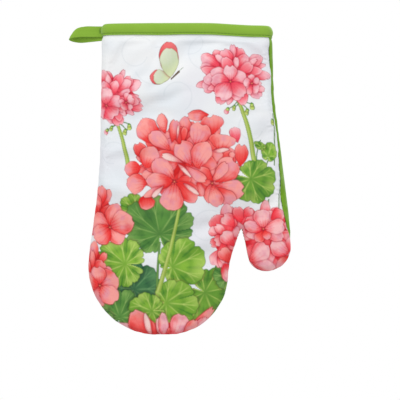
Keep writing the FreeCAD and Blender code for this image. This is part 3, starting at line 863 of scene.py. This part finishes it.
    def bud(self, x, z, length, angle, tints=BUD):
        """A drooping bud: a green drop, or one of other tints in a green cup."""
        chosen, *local = self.near(x, z, length * 1.3)
        self.petal(local, chosen, angle, length, length * 0.62, tints)
        self.petal(local, chosen, angle, length * 0.5, length * 0.5, BUD)

    def butterfly(self, x, z):
        """A butterfly seen from its side, with its wings folded up."""
        chosen, *local = self.near(x, z, 44)
        self.petal(local, chosen, 178, 20, 14, WING_EDGE)
        self.petal(local, chosen, 178, 16.5, 14, WING)
        self.petal(local, chosen, 95, 35, 20, WING_EDGE)
        self.petal(local, chosen, 95, 28.5, 19, WING, -1)
        self.stem(x + 0.5, z - 2, x + 8.5, z + 5.5, 0, (1.2, 2.2), INSECT)
        self.stem(x + 8.5, z + 5.5, x + 12.5, z + 9, 0.4, (0.5, 0.4), THIN_STEM)


# the petals of the big head, from the furthest back: where each starts and ends, how wide it is,
# its colours, its tone, and -1 where its other side is in shade
BIG_HEAD = (
    # the crown of petals behind
    (-20, -106, -25, -86, 10, CORAL, 0.3, -1), (-14, -115, -11, -92, 11, CORAL, 0.0),
    (-28, -114, -42, -91, 22, CORAL, 0.0, -1), (-4, -115, -2, -99, 7, CORAL, -0.5),
    (-9, -113, -8, -97, 2.5, BLUSH, 0.0), (21, -88, 0, -89, 11, CORAL, 0.2, -1),
    (24, -108, 21, -88, 22, CORAL, -0.1), (48, -115, 43, -100, 11, PINK, -0.3),
    (8, -118, 14, -95, 22, CORAL, 0.6, -1), (-40, -131, -47, -114, 13, CORAL, -0.5),
    # the right side
    (50, -138, 51, -115, 14, CORAL, -0.3, -1), (31, -122, 33, -106, 27, CORAL, 0.3),
    (25, -123, 40, -121, 5, BLUSH, 0.4), (33, -134, 44, -124, 14, CORAL, -0.5, -1),
    (43, -131, 42, -123, 6, CORAL, 0.5), (27, -152, 45, -130, 24, CORAL, 0.2, -1),
    (25, -155, 55, -160, 19, CORAL, 0.5, -1), (26, -156, 46, -171, 16, CORAL, 0.1),
    (23, -152, 38, -133, 11, CORAL, 0.6), (25, -151, 12, -138, 10, CORAL, -0.3, -1),
    # the middle
    (-15, -122, -35, -105, 15, CORAL, 0.5), (4, -136, -8, -113, 20, CORAL, 0.6, -1),
    (9, -138, 20, -114, 20, CORAL, 0.7), (-38, -139, -31, -118, 19, CORAL, 0.3),
    # the left side
    (-43, -138, -59, -139, 16, CORAL, -0.1), (-38, -164, -39, -178, 16, CORAL, -0.4, -1),
    (-37, -153, -57, -151, 19, CORAL, 0.4, -1),
)
# and the petals of the two flowers in front of it
NEAR_PETALS = (
    (-10, -151, 5, -151, 14, CORAL, -0.5), (-9, -152, 9, -171, 18, CORAL, -0.3, -1),
    (-12, -151, -31, -131, 19, CORAL, 0.5), (-3, -134, -24, -126, 7, BLUSH, 0.1, -1),
    (-13, -151, -38, -150, 17, CORAL, 0.1), (-22, -156, -41, -166, 8, CORAL, 0.5),
    (-21, -155, -33, -167, 5, BLUSH, 0.2, -1), (-11, -153, -15, -179, 23, CORAL, 0.6),
    (24, -153, 21, -172, 15, CORAL, 0.6, -1), (24, -154, 31, -176, 14, CORAL, 0.5),
    (-2, -136, 19, -151, 10, CORAL, 0.7), (-9, -134, 5, -148, 4, BLUSH, 0.3),
    (-3, -153, 12, -164, 5, BLUSH, 0.3),
)


# the petals on the thumb and beside it
THUMB_PETALS = (
    (46, -214, 33, -201, 14, ROSE, 0.0), (44, -231, 31, -217, 14, CORAL, -0.2),
    (37, -230, 38, -248, 13, ROSE, 0.1, -1), (46, -196, 34, -184, 13, ROSE, -0.1, -1),
    (52, -192, 47, -175, 12, ROSE, -0.4), (54, -186, 61, -176, 10, ROSE, -0.2),
    (80, -188, 96, -181, 13, ROSE, -0.2), (97, -221, 102, -204, 12, ROSE, -0.2, -1),
    (98, -223, 86, -236, 12, CORAL, 0.1), (61, -227, 86, -236, 13, ROSE, 0.4, -1),
    (98, -221, 80, -210, 15, ROSE, 0.35), (60, -229, 77, -211, 18, ROSE, 0.4),
    (73, -197, 93, -207, 14, ROSE, 0.4, -1), (73, -197, 57, -204, 12, ROSE, 0.1, -1),
    (73, -198, 67, -210, 11, CORAL, -0.3), (73, -198, 79, -207, 9, CORAL, -0.1),
    (73, -197, 55, -192, 13, ROSE, 0.2), (73, -197, 95, -192, 16, ROSE, 0.5),
    (73, -197, 69, -178, 17, ROSE, 0.5),
)
# the petals along the fingertips
FOOT_PETALS = (
    (-36, -303, -66, -288, 17, ROSE, 0.3), (-32, -303, -36, -283, 12, CORAL, -0.6),
    (-35, -304, -51, -273, 21, CORAL, -0.3), (-34, -302, -40, -276, 6, BLUSH, 0.3),
    (-22, -304, -26, -284, 10, CORAL, -0.6), (-25, -303, -28, -280, 6, BLUSH, 0.4),
    (-21, -303, -23, -275, 10, ROSE, 0.5), (-12, -304, -16, -289, 12, CORAL, -0.5),
    (-14, -303, -5, -277, 19, ROSE, 0.3), (-2, -303, 26, -271, 12, CORAL, 0.2),
    (-6, -303, 20, -281, 11, ROSE, 0.3), (-4, -301, 22, -292, 8, ROSE, 0.1),
    (-4, -303, 8, -283, 12, CORAL, 0.2),
)


def paint(x, z):
    """The print's colour at each point of the flat front: geraniums, their leaves and a butterfly,
    on a cloudy off-white ground. The motifs are listed from the furthest back to the nearest."""
    art = Print(x, z)
    for swirl in ((-48, -28, 17, 40, 300), (-28, -38, 22, 200, 260), (20, -30, 20, 90, 280),
                  (-10, -70, 16, 300, 240), (-70, -125, 13, 20, 260), (62, -100, 14, 120, 220),
                  (20, -195, 17, 60, 270), (5, -18, 12, 250, 230)):
        art.swirl(*swirl)

    art.butterfly(-15, -52)

    # stalks, small leaves and buds behind the heads
    art.stem(48, -74, 64, -136, 2.5, (3.4, 5.0), STEM)
    art.stem(-67, -93, -55, -138, 1.5, (2.8, 4.4), STEM)
    art.stem(82.6, -86, 83.4, -136, 0.8, (1.0, 1.2), THIN_STEM)
    art.bud(81, -91, 7, -80)
    art.stem(70, -112, 66, -138, -1.5, (0.9, 1.1), THIN_STEM)
    art.stem(79, -118, 74, -140, 1.0, (0.9, 1.1), THIN_STEM)
    art.leaf(79, -123, 9.5, -110, FRESH_LEAF, lobes=5, squash=0.8, tip=0, hub=0.5)
    art.leaf(69, -117, 6.5, -40, MID_LEAF, lobes=5, squash=0.55, tip=60, hub=0.4)
    art.stem(89.5, -150, 89, -182, 0.5, (1.0, 1.2), THIN_STEM)
    art.stem(78, -168, 80, -182, -0.5, (1.2, 1.4), THIN_STEM)
    for ends in ((47, -76, 40, -82), (48, -77, 46, -80), (49, -77, 57, -83), (50, -76, 61, -78),
                 (-66, -94, -75, -101), (-66, -95, -71, -98), (-65, -95, -58, -101),
                 (-65, -94, -55, -96)):
        art.stem(*ends, 0.8, (1.1, 0.9), THIN_STEM)
    for bud in ((39, -81, 7.5, -110, PINK), (45, -79, 6, -100), (57, -82, 7.5, -95),
                (61, -76, 8, -80), (-75, -100, 7, -110, PINK), (-71, -97, 6, -100),
                (-58, -100, 7.5, -95), (-55, -95, 7.5, -80)):
        art.bud(*bud)

    # leaves
    art.leaf(64, -151, 20.5, 150, MID_LEAF, hub=0.22, lobes=8)
    art.leaf(-51, -176, 14, -40, FRESH_LEAF, lobes=7)
    art.leaf(-27, -188, 33, -82, DARK_LEAF, squash=0.86, tip=90, hub=0.4, lobes=10)
    art.leaf(-45, -249, 22, 225, BLUE_LEAF, hub=0.3, lobes=8)
    art.stem(-25, -208, -28, -258, -0.5, (2.0, 2.6), THIN_STEM)
    art.leaf(25, -262, 28, 150, MID_LEAF, hub=0.35, lobes=8)
    art.leaf(40, -241, 15, -100, DARK_LEAF, hub=0.1, lobes=7)
    art.leaf(-2, -228, 22.5, 200, FRESH_LEAF, hub=0.55, lobes=8)
    art.leaf(-62, -229, 24, -8, FRESH_LEAF, hub=0.2, lobes=10)
    art.leaf(-62, -276, 22, -110, DARK_LEAF, hub=0.2, lobes=9)
    art.leaf(-84, -283, 14, 60, DARK_LEAF, hub=0.2, lobes=8)
    art.leaf(-12, -267, 22, 175, FRESH_LEAF, hub=0.35, lobes=8)
    art.leaf(-38, -276, 18, 20, FRESH_LEAF, hub=0.3, lobes=8)
    art.stem(-6, -172, -27, -256, 1.5, (3.0, 4.6), STEM)

    # the heads of flowers
    art.head(44.5, -50.5, 33, 27, 12, PINK, 3)
    art.floret(41, -57, 18, 98, PINK)
    art.floret(62, -58, 11, 30, PINK, tip=-20, squash=0.75)
    art.head(-71, -70, 28, 24.5, 11, PINK, 5)
    art.floret(-76, -78, 16.5, 95, PINK)
    art.floret(-57, -75, 10, 20, PINK, tip=10, squash=0.75)
    art.head(-2, -131, 45, 37, 17, CORAL, 2)
    art.strokes(BIG_HEAD)
    art.strokes(NEAR_PETALS)
    art.heart(-11.5, -151.5, CORAL)
    art.heart(24, -153, CORAL)
    loose = ((0.35, 1.0, 8), (0.05, 0.7, 5))
    art.head(-84, -183, 17, 26, 14, CORAL, 4, loose)
    art.floret(-73, -195, 22, 8, CORAL, tones=(0.6, 0.2, 0.5, 0.1, 0.7))
    art.head(-89, -238, 16, 26, 13, CORAL, 9, loose)
    art.floret(-82, -251, 22, -44, CORAL, tones=(0.7, 0.6, 0.3, 0.1, 0.8))
    art.gloom(82, -228, 26, 26, ROSE, 7)
    art.head(74, -206, 33, 33, 18, ROSE, 11, ((0.5, 1.0, 12), (0.2, 0.75, 7)))
    art.head(38, -206, 14, 30, 15, ROSE, 13, ((0.4, 1.0, 11), (0.05, 0.7, 6)))
    art.strokes(THUMB_PETALS)
    art.heart(73, -197, ROSE)
    art.gloom(-22, -306, 40, 20, CORAL, 6)
    art.strokes(FOOT_PETALS)
    return np.clip(art.colour, 0, 1)


# ------------------------------------------------------------------ the outer cloths
DETAIL = 0.74  # mm between the front's vertices, which carry its print
front = outer_cloth(-1, DETAIL)
back = outer_cloth(1, DETAIL * 1.25)
for cloth, (coarse, moved) in zip((front, back), swell()):
    swollen(cloth, coarse, moved)


# ------------------------------------------------------------------ the cuff's binding
def cuff_plan():
    """The outer cloths' edge at the cuff, seen from above, its outward directions, and how far
    round it each point is."""
    edge = np.concatenate([c.points[np.abs(c.flat[:, 1]) < 1e-6][:, :2] for c in (front, back)])
    edge = edge[np.argsort(np.arctan2(4 * edge[:, 1], edge[:, 0]))]
    plan, _ = evened(edge, 0.8, closed=True)
    for _ in range(30):
        plan = 0.5 * plan + 0.25 * (np.roll(plan, 1, axis=0) + np.roll(plan, -1, axis=0))
    plan, along = evened(plan, 0.8, closed=True)
    ahead = unit(np.roll(plan, -1, axis=0) - np.roll(plan, 1, axis=0))
    return plan, np.stack([ahead[:, 1], -ahead[:, 0]], 1), along


def grid_faces(rows, columns, joined_rows=False):
    """The quads of a tube of vertices numbered ring by ring. Its ends are closed by a face each,
    or with joined_rows by each other."""
    faces = []
    for i in range(rows if joined_rows else rows - 1):
        for j in range(columns):
            near, far = i * columns, (i + 1) % rows * columns
            after = (j + 1) % columns
            faces.append((near + j, far + j, far + after, near + after))
    if not joined_rows:
        last = rows * columns - 1
        faces += [tuple(range(columns)), tuple(range(last, last - columns, -1))]
    return faces


def tube_piece(name, points, along, across, joined_rows=False):
    """A tube of tape from its rings of points, with its weave laid by two lengths in mm."""
    rows, columns = points.shape[:2]
    cloth = np.stack([np.repeat(along, columns), np.tile(across, rows)], 1)
    return mesh_piece(name, points.reshape(-1, 3), grid_faces(rows, columns, joined_rows),
                      cloth=cloth)


PLAN, PLAN_OUT, PLAN_ALONG = cuff_plan()


def tuck_in(sheet, depth):
    """Bring a cloth's edge under the binding, depth mm inside its plan."""
    tree = search_tree(PLAN)
    share = smoothstep(-15, -10.4, sheet.points[:, 2])
    for v in np.nonzero(share)[0]:
        place = sheet.points[v, :2]
        k = tree.find((*place, 0))[1]
        short = -depth - (place - PLAN[k]) @ PLAN_OUT[k]
        sheet.points[v, :2] += PLAN_OUT[k] * short * share[v]


for cloth in (front, back):
    tuck_in(cloth, 0.25)
outer_pieces = [
    split_pieces("printed_front_cloth", front, printed_cotton,
                 ("printed_front", "front_wadding"), paint(front.flat[:, 0], front.flat[:, 1])),
    split_pieces("quilted_back_cloth", back, green_cotton,
                 ("quilted_back", "back_wadding"))]

LINING_INSET, LINING_SPACING = 4.6, 3.0
for side, facing, outers in (("front", -1, outer_pieces[0]), ("back", 1, outer_pieces[1])):
    sheet = Sheet(facing, LINING_SPACING, LINING_INSET)
    sheet.push(-1.0 + 0.6 * layered_noise(sheet.flat[:, 0], sheet.flat[:, 1], 30, 41 + facing, 2))
    tuck_in(sheet, 3.8)
    sheet.points[:, 2] += corner_drop(sheet.points)
    pieces = split_pieces(f"{side}_lining_cloth", sheet, lining_cotton,
                          (f"{side}_lining",))

STITCH_PITCH = 3.3
# the binding's section, as distance out from the outer cloth and height: up the outside from its
# folded hem, over the edge and down the inside, then back up next to the layers it holds
BINDING_SECTION = [
    (0.1, -10.4), (0.7, -10.55), (1.1, -10.2), (1.15, -9.7), (0.9, -9.25), (0.55, -8.9),
    (0.9, -8.55), (1.25, -8.0), (1.55, -7.0), (1.8, -5.7), (1.85, -4.3), (1.7, -2.9), (1.35, -1.5),
    (0.8, -0.4), (0.1, 0.4), (-0.8, 0.85), (-1.8, 0.98), (-3.0, 0.9), (-4.1, 0.5), (-4.8, -0.3),
    (-5.2, -1.5), (-5.35, -3.5), (-5.35, -5.5), (-5.2, -7.5), (-5.0, -8.5), (-4.75, -8.9),
    (-5.0, -9.3), (-5.0, -10.2), (-4.6, -10.5), (-4.2, -9.5), (-4.1, -5.0), (-3.8, -1.2),
    (-2.0, -0.5), (-0.4, -0.9), (-0.1, -4.0), (-0.1, -9.0),
]
BINDING_MIDDLE = 2.0  # how far in the layers' middle is


def binding_spot(k, out, high):
    """A place on the binding, at a step of its plan."""
    hem = 0.35 * value_noise(PLAN_ALONG[k], 0.0, 26.0, 51) * smoothstep(-6, -10, high)
    bulge = 0.16 * value_noise(PLAN_ALONG[k], high * 0.7, 6.0, 52) * smoothstep(-1, -5, high)
    x, y = PLAN[k] + PLAN_OUT[k] * (out + bulge * np.sign(out + BINDING_MIDDLE))
    place = np.array([x, y, high + hem])
    return place + (0, 0, corner_drop(place[None])[0])


binding_points = []
for k, along in enumerate(PLAN_ALONG):
    section = np.array(BINDING_SECTION)
    pinch = 0.14 * math.cos(2 * math.pi * along / STITCH_PITCH)
    pinch = pinch * np.exp(-((section[:, 1] + STITCH_HEIGHT) / 0.5) ** 2)
    section[:, 0] -= pinch * np.sign(section[:, 0] + BINDING_MIDDLE)
    binding_points.append([binding_spot(k, out, high) for out, high in section])
binding = tube_piece("cuff_binding_tape", np.array(binding_points), PLAN_ALONG,
                     lengths_along(np.array(BINDING_SECTION)), joined_rows=True)
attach(binding, "hand")
dress(binding, binding_cotton, ["cuff_binding"])


# ------------------------------------------------------------------ stitches
def stitches(name, ends, nodes, radius=0.3):
    """Many stitches as one mesh. ends holds each one's start and end, in mm."""
    ends = np.asarray(ends)
    start, reach = ends[:, 0], ends[:, 1] - ends[:, 0]
    length = np.linalg.norm(reach, axis=1)[:, None]
    axis = reach / length
    side = unit(np.cross(axis, (0.31, 0.17, 0.93)))
    other = np.cross(axis, side)
    points, cloth, sides = [], [], 6
    fullness = ((0.0, 0.35), (0.12, 0.9), (0.5, 1.0), (0.88, 0.9), (1.0, 0.35))
    for share, full in fullness:
        for k in range(sides):
            turn = 2 * math.pi * k / sides
            points.append(start + reach * share + radius * full * (
                side * math.cos(turn) + other * math.sin(turn)))
            cloth.append(np.concatenate([length * share, 0 * length + turn], 1))
    one, count = grid_faces(len(fullness), sides), len(points)
    faces = [[v + count * n for v in face] for n in range(len(ends)) for face in one]
    piece = mesh_piece(name, np.stack(points, 1).reshape(-1, 3), faces,
                       cloth=np.stack(cloth, 1).reshape(-1, 2))
    dress(piece, green_thread, nodes)
    return piece


def bending_stitches(name, ends, stem):
    """Stitches all over the mitt, in two pieces."""
    for title, body, endings, chosen in halves(name, ends.mean(1)[:, [0, 2]]):
        piece = stitches(title, ends[chosen], [f"{stem}_{ending}" for ending in endings])
        bend_with(piece)


def run_of_stitches(path, pitch, length):
    """Each stitch's start and end along a polyline."""
    along = lengths_along(path)
    begin = np.arange(pitch / 2, along[-1] - pitch / 2, pitch)
    return np.stack([places_along(path, along, begin + more) for more in (0, length)], 1)


rows_of_binding = []
for out in (0.86, -5.06):  # the outside and the inside of the cuff
    path = np.array([binding_spot(k, out, -STITCH_HEIGHT) for k in (*range(len(PLAN)), 0)])
    rows_of_binding.append(run_of_stitches(path, STITCH_PITCH, 2.4))
binding_thread = stitches("binding_stitches", np.concatenate(rows_of_binding),
                          ["binding_stitching"], 0.26)
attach(binding_thread, "hand")

# the side seam runs midway between the two outer cloths' rims
same = np.linspace(0, back.rim_count - 1, front.rim_count).round().astype(int)
seam_path = (front.points[:front.rim_count] + back.points[same]) / 2
seam_ends = run_of_stitches(seam_path[::2], 3.1, 2.2)
seam_ends[:, :, 1] += 0.3
bending_stitches("side_seam_stitches", seam_ends, "side_seam_thread")

ROW_REACH = 320  # a row of quilting this far each way crosses the whole mitt
back_tree = BVHTree.FromPolygons([Vector(v) for v in back.points], back.triangles.tolist())
ring, _ = rounded_outline(1.0)


def in_outline(places, margin):
    """Which places lie in the outline, at least margin mm from it."""
    crossings = np.zeros(len(places), int)
    for a, b in zip(ring, np.roll(ring, -1, axis=0)):
        if a[1] == b[1]:
            continue
        spans = (places[:, 1] < max(a[1], b[1])) & (places[:, 1] >= min(a[1], b[1]))
        x = a[0] + (places[:, 1] - a[1]) / (b[1] - a[1]) * (b[0] - a[0])
        crossings += spans & (places[:, 0] < x)
    return (crossings % 2 == 1) & (distance_to(ring, places) > margin)


def quilting_row(way, number):
    """The stitches of one row of quilting, laid along the back's surface."""
    run = np.array([math.cos(QUILT_ANGLE), -way * math.sin(QUILT_ANGLE)])
    across = np.array([way * math.sin(QUILT_ANGLE), math.cos(QUILT_ANGLE)])
    middle = CROTCH + number * QUILT_SPACING * across
    places = middle + np.arange(-ROW_REACH, ROW_REACH, 0.6)[:, None] * run
    fits = in_outline(places, 0.6) & (places[:, 1] < -11.0)
    cuts = np.nonzero(np.diff(fits.astype(int)))[0] + 1
    ends = []
    for part in np.split(np.arange(len(places)), cuts):
        if not fits[part[0]] or len(part) < 12:
            continue
        found = [back_tree.ray_cast((x, 60, z), (0, -1, 0))[0] for x, z in places[part]]
        path = np.array([spot for spot in found if spot is not None])
        ends.append(run_of_stitches(path + (0, 0.12, 0), 3.2, 2.3))
    return ends


rows_of_quilting = [row for way in (-1, 1) for number in range(-8, 9)
                    for row in quilting_row(way, number)]
bending_stitches("quilting_stitches", np.concatenate(rows_of_quilting), "quilting_thread")


# ------------------------------------------------------------------ the hanging loop
LOOP_ROOT, TAPE_WIDTH, TAPE_THICK, EYE_RADIUS = -80.4, 10.4, 1.0, 3.6
LOOP_END, LOOP_SLANT = -105.0, 9.9  # the fold at the tape's top edge, and how its bottom one leans


def smoothed(values, times):
    """Values in a row, evened out between its two ends."""
    for _ in range(times):
        values[1:-1] = 0.5 * values[1:-1] + 0.25 * (values[2:] + values[:-2])
    return values


def loop_strand(v):
    """One thread of the loop's tape, from its front root round the eye to its back root. v goes
    from 0 at the tape's top edge to 1 at its bottom one."""
    middle = LOOP_END - LOOP_SLANT * math.sqrt(v) + EYE_RADIUS
    round_eye = np.radians(np.linspace(-96, -264, 25))
    root = [(LOOP_ROOT, 0.75), (LOOP_ROOT - 3, 0.8), (LOOP_ROOT - 6, 1.0)]
    curve = [(x, -y) for x, y in root]
    curve += [(middle + EYE_RADIUS * math.cos(a), EYE_RADIUS * math.sin(a)) for a in round_eye]
    path, along = evened(np.array(curve + root[::-1]), 0.1)
    share = np.linspace(0, 1, 140)
    x, y = smoothed(places_along(path, along / along[-1], share), 40).T
    sag = np.interp(share, (0, 0.3, 0.44, 0.5, 0.56, 0.68, 1.0), (0, 0, 1.2, 2.4, 3.8, 5.4, 3.2))
    return np.stack([x, y, -0.9 - smoothed(sag, 60) - TAPE_WIDTH * v], 1)


levels = np.linspace(0, 1, 15)
tape = np.stack([loop_strand(v) for v in levels], 1)
outside = unit(np.cross(np.gradient(tape, axis=0), np.gradient(tape, axis=1)))
outside *= -np.sign(outside[20, 7, 1])  # the front strand's outside faces -Y
length_along = lengths_along(tape[:, 7])
# thinner at both edges, along the folded hem and along the middle
half = 0.5 * TAPE_THICK * (1 - 0.35 * np.abs(2 * levels - 1) ** 6)
half -= 0.14 * np.exp(-((levels - 0.86) / 0.035) ** 2) + 0.1 * np.exp(-((levels - 0.5) / 0.04) ** 2)
half = half[None, :] + 0.1 * value_noise(length_along[:, None], levels[None, :] * 12, 4.0, 61)
outer, inner = tape + outside * half[:, :, None], tape - outside * half[:, :, None]
loop = tube_piece("hanging_loop_tape", np.concatenate([outer, inner[:, ::-1]], 1), length_along,
                  np.concatenate([levels, 2 - levels[::-1]]) * TAPE_WIDTH)
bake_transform(loop)
dress(loop, binding_cotton, ["hanging_loop"])

TACK_TOP, TACK_STEP, TACK_LEFT, TACK_RIGHT = -2.9, 0.62, -85.4, -83.4
tack = []
for row in range(9):
    z = TACK_TOP - TACK_STEP * row
    for side in (-1, 1):
        slant = 0.25 if row % 2 else -0.25
        tack.append([(TACK_LEFT, side * 1.3, z - slant), (TACK_RIGHT, side * 1.25, z + slant)])
tack_thread = stitches("loop_tack_stitches", tack, ["loop_bar_tack"], 0.2)
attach(tack_thread, "hand")


# ------------------------------------------------------------------ camera, lights and backdrop
LENS, SENSOR = 120, 36
# in metres: how wide the picture is at the printed face, how far that is in front of the mitt's
# middle, and where the picture's middle is
VIEW_WIDTH, FACE_DEPTH = 0.3846, 0.012
VIEW_X, VIEW_Z = 0.0127, -0.1692
scene = bpy.context.scene
camera = add_to_scene("camera", bpy.data.cameras.new("camera"))
camera.data.lens, camera.data.sensor_width = LENS, SENSOR
camera.location = (VIEW_X, -VIEW_WIDTH * LENS / SENSOR - FACE_DEPTH, VIEW_Z)
camera.rotation_euler = (math.pi / 2, 0, 0)
scene.camera = camera
scene.view_settings.view_transform = "Standard"


def area_light(name, place, size, power):
    """A round lamp that points at the middle of the mitt."""
    data = bpy.data.lights.new(name, "AREA")
    data.shape, data.size, data.energy = "DISK", size, power
    lamp = add_to_scene(name, data)
    lamp.location = place
    aim = Vector((0, 0, -0.15)) - lamp.location
    lamp.rotation_euler = aim.to_track_quat("-Z", "Y").to_euler()


area_light("key", (-0.7, -1.1, 1.1), 0.7, 12)
area_light("fill", (1.2, -1.1, 0.1), 1.2, 4)
area_light("rear", (0.9, 0.9, 1.0), 0.6, 12)

# white to the camera, and a softer white to light the mitt with
scene.world = bpy.data.worlds.new("world")
scene.world.use_nodes = True
sky, link = scene.world.node_tree.nodes, scene.world.node_tree.links.new
softer, white = sky["Background"], sky.new("ShaderNodeBackground")
for backdrop, strength in ((softer, 0.66), (white, 1.0)):
    backdrop.inputs["Color"].default_value = (1, 1, 1, 1)
    backdrop.inputs["Strength"].default_value = strength
either = sky.new("ShaderNodeMixShader")
link(sky.new("ShaderNodeLightPath").outputs["Is Camera Ray"], either.inputs[0])
link(softer.outputs[0], either.inputs[1])
link(white.outputs[0], either.inputs[2])
link(either.outputs[0], sky["World Output"].inputs[0])
